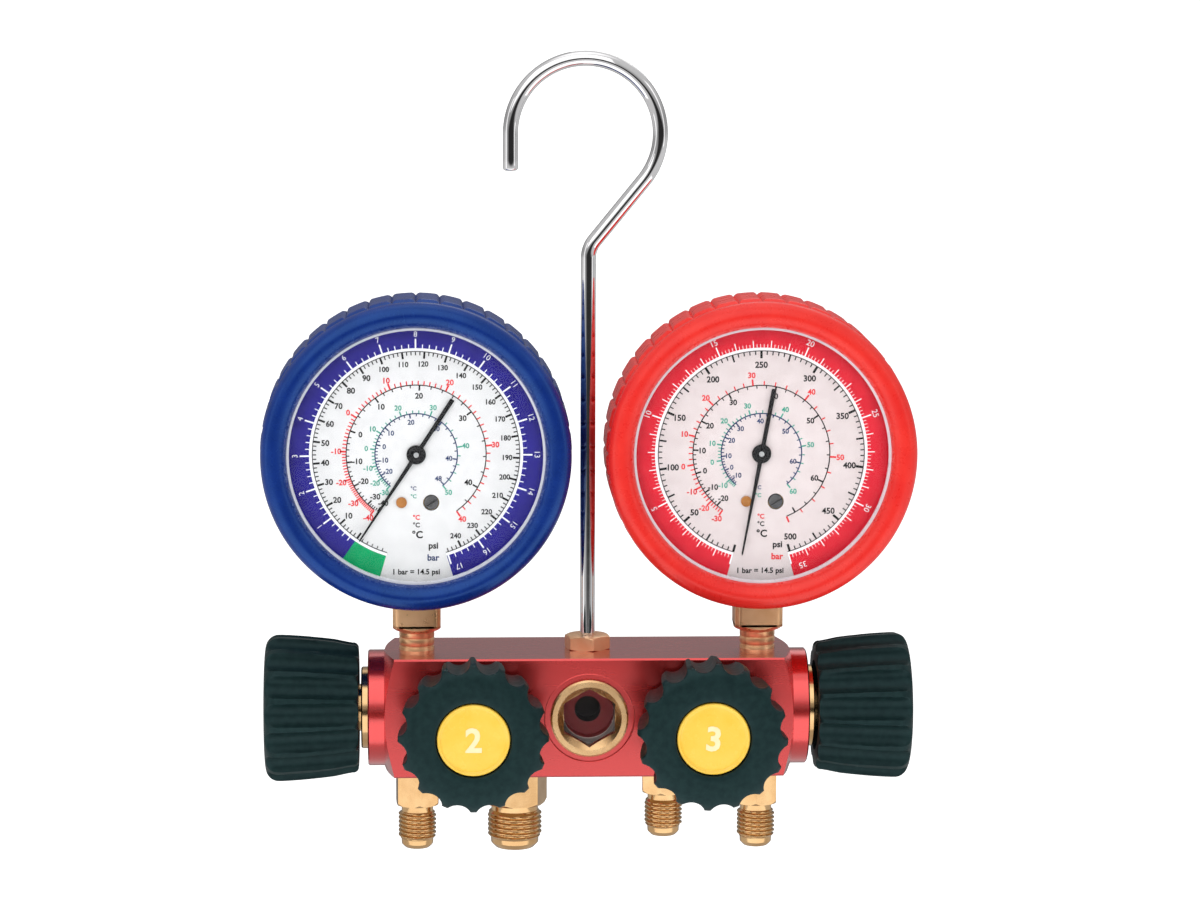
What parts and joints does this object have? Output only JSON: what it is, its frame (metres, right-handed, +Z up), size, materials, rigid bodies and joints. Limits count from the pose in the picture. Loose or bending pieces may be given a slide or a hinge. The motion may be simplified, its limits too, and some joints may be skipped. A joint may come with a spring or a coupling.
{
  "type": "refrigerant manifold gauge",
  "caption": "Two-gauge refrigerant service manifold with hand valves, sight glass, flare hose ports and a swivelling hanging hook.",
  "frame": {"origin": "the point inside the top of the hook where the swivel axis meets it, which a rail or nail bears on", "axes": "+Z up along the swivel axis, +X to the high-side (red) gauge, -Y towards the dials and front knobs"},
  "size_m": [0.1902, 0.0692, 0.2342],
  "materials": {
    "anodised_red": "gloss red anodised",
    "brass": "machined",
    "chrome": "polished",
    "blue_rubber": "satin blue rubber",
    "red_rubber": "satin red rubber",
    "knob_plastic": "satin green-black",
    "cap_yellow": "gloss yellow",
    "cap_blue": "gloss blue",
    "cap_red": "gloss red",
    "dial_white": "satin white, printed",
    "lens_clear": "clear",
    "case_steel": "black",
    "bezel_white": "white",
    "steel": "machined",
    "dark_steel": "blackened",
    "pointer_black": "matt black",
    "seal_grey": "grey",
    "seal_black": "matt"
  },
  "bodies": {
    "hook": {"hanging_hook": "chrome"},
    "manifold": {"manifold_block": "anodised_red", "sight_glass_ring": "brass", "sight_glass_window": "lens_clear", "sight_glass_seal": "seal_grey", "hook_gland_nut": "brass", "low_side_port": "brass", "high_side_port": "brass", "charging_port": "brass", "vacuum_port": "brass", "valve_bonnets": "brass", "bonnet_seals": "seal_black", "stem_seals": "seal_grey", "hairsprings": "brass", "bezel_rings": "bezel_white", "dial_screws": "brass", "calibration_screws": "dark_steel", "low_gauge_case": "case_steel", "low_gauge_boot": "blue_rubber", "low_gauge_lens": "lens_clear", "low_gauge_dial": "dial_white", "low_gauge_socket": "brass", "low_gauge_bourdon_tube": "brass", "low_gauge_movement_frame": "brass", "high_gauge_case": "case_steel", "high_gauge_boot": "red_rubber", "high_gauge_lens": "lens_clear", "high_gauge_dial": "dial_white", "high_gauge_socket": "brass", "high_gauge_bourdon_tube": "brass", "high_gauge_movement_frame": "brass"},
    "low_seat_plug": {"low_valve_seat_plug": "seal_grey"},
    "low_spindle": {"low_valve_stem": "brass", "low_valve_knob": "knob_plastic", "low_valve_knob_cap": "cap_blue", "low_valve_knob_screw": "steel"},
    "high_seat_plug": {"high_valve_seat_plug": "seal_grey"},
    "high_spindle": {"high_valve_stem": "brass", "high_valve_knob": "knob_plastic", "high_valve_knob_cap": "cap_red", "high_valve_knob_screw": "steel"},
    "vacuum_seat_plug": {"vacuum_valve_seat_plug": "seal_grey"},
    "vacuum_spindle": {"vacuum_valve_stem": "brass", "vacuum_valve_knob": "knob_plastic", "vacuum_valve_knob_cap": "cap_yellow", "vacuum_valve_knob_screw": "steel"},
    "charging_seat_plug": {"charging_valve_seat_plug": "seal_grey"},
    "charging_spindle": {"charging_valve_stem": "brass", "charging_valve_knob": "knob_plastic", "charging_valve_knob_cap": "cap_yellow", "charging_valve_knob_screw": "steel"},
    "low_sector": {"low_gauge_sector_gear": "brass"},
    "low_needle": {"low_gauge_pinion_arbor": "steel", "low_gauge_pointer": "pointer_black"},
    "low_link": {"low_gauge_link": "brass"},
    "high_sector": {"high_gauge_sector_gear": "brass"},
    "high_needle": {"high_gauge_pinion_arbor": "steel", "high_gauge_pointer": "pointer_black"},
    "high_link": {"high_gauge_link": "brass"}
  },
  "joints": [
    {"name": "hook_swivel", "type": "hinge", "parent": "hook", "child": "manifold", "pos_m": [0, 0, 0], "axis": [0, 0, 1], "continuous": true},
    {"name": "low_valve_lift", "type": "slide", "parent": "manifold", "child": "low_seat_plug", "axis": [-1, 0, 0], "range_m": [0, 0.00219]},
    {"name": "low_valve_turn", "type": "hinge", "parent": "low_seat_plug", "child": "low_spindle", "pos_m": [-0.066, 0, -0.18778], "axis": [-1, 0, 0], "range_deg": [0, 630]},
    {"name": "high_valve_lift", "type": "slide", "parent": "manifold", "child": "high_seat_plug", "axis": [1, 0, 0], "range_m": [0, 0.00219]},
    {"name": "high_valve_turn", "type": "hinge", "parent": "high_seat_plug", "child": "high_spindle", "pos_m": [0.066, 0, -0.18778], "axis": [1, 0, 0], "range_deg": [0, 630]},
    {"name": "vacuum_valve_lift", "type": "slide", "parent": "manifold", "child": "vacuum_seat_plug", "axis": [0, -1, 0], "range_m": [0, 0.00219]},
    {"name": "vacuum_valve_turn", "type": "hinge", "parent": "vacuum_seat_plug", "child": "vacuum_spindle", "pos_m": [-0.034, -0.02, -0.18778], "axis": [0, -1, 0], "range_deg": [0, 630]},
    {"name": "charging_valve_lift", "type": "slide", "parent": "manifold", "child": "charging_seat_plug", "axis": [0, -1, 0], "range_m": [0, 0.00219]},
    {"name": "charging_valve_turn", "type": "hinge", "parent": "charging_seat_plug", "child": "charging_spindle", "pos_m": [0.034, -0.02, -0.18778], "axis": [0, -1, 0], "range_deg": [0, 630]},
    {"name": "low_sector_turn", "type": "hinge", "parent": "manifold", "child": "low_sector", "pos_m": [-0.05, 0, -0.13128], "axis": [0, 1, 0], "range_deg": [-30.85, 1.8], "stiffness_Nm_per_rad": 0.05},
    {"name": "low_pointer_turn", "type": "hinge", "parent": "manifold", "child": "low_needle", "pos_m": [-0.05, 0, -0.11148], "axis": [0, 1, 0], "range_deg": [-18, 308.5]},
    {"name": "low_link_swing", "type": "hinge", "parent": "low_sector", "child": "low_link", "pos_m": [-0.05242, 0, -0.13446], "axis": [0, 1, 0], "range_deg": [-1.8, 30.85]},
    {"name": "high_sector_turn", "type": "hinge", "parent": "manifold", "child": "high_sector", "pos_m": [0.05, 0, -0.13128], "axis": [0, 1, 0], "range_deg": [-33.4, 0], "stiffness_Nm_per_rad": 0.05},
    {"name": "high_pointer_turn", "type": "hinge", "parent": "manifold", "child": "high_needle", "pos_m": [0.05, 0, -0.11148], "axis": [0, 1, 0], "range_deg": [0, 334]},
    {"name": "high_link_swing", "type": "hinge", "parent": "high_sector", "child": "high_link", "pos_m": [0.04746, 0, -0.13437], "axis": [0, 1, 0], "range_deg": [0, 33.4]}
  ],
  "couplings": [
    {"joint": "low_valve_lift", "follows": "low_valve_turn", "m_per_rad": 0.00019894},
    {"joint": "high_valve_lift", "follows": "high_valve_turn", "m_per_rad": 0.00019894},
    {"joint": "vacuum_valve_lift", "follows": "vacuum_valve_turn", "m_per_rad": 0.00019894},
    {"joint": "charging_valve_lift", "follows": "charging_valve_turn", "m_per_rad": 0.00019894},
    {"joint": "low_pointer_turn", "follows": "low_sector_turn", "ratio": -10},
    {"joint": "low_link_swing", "follows": "low_sector_turn", "ratio": -1},
    {"joint": "high_pointer_turn", "follows": "high_sector_turn", "ratio": -10},
    {"joint": "high_link_swing", "follows": "high_sector_turn", "ratio": -1}
  ]
}
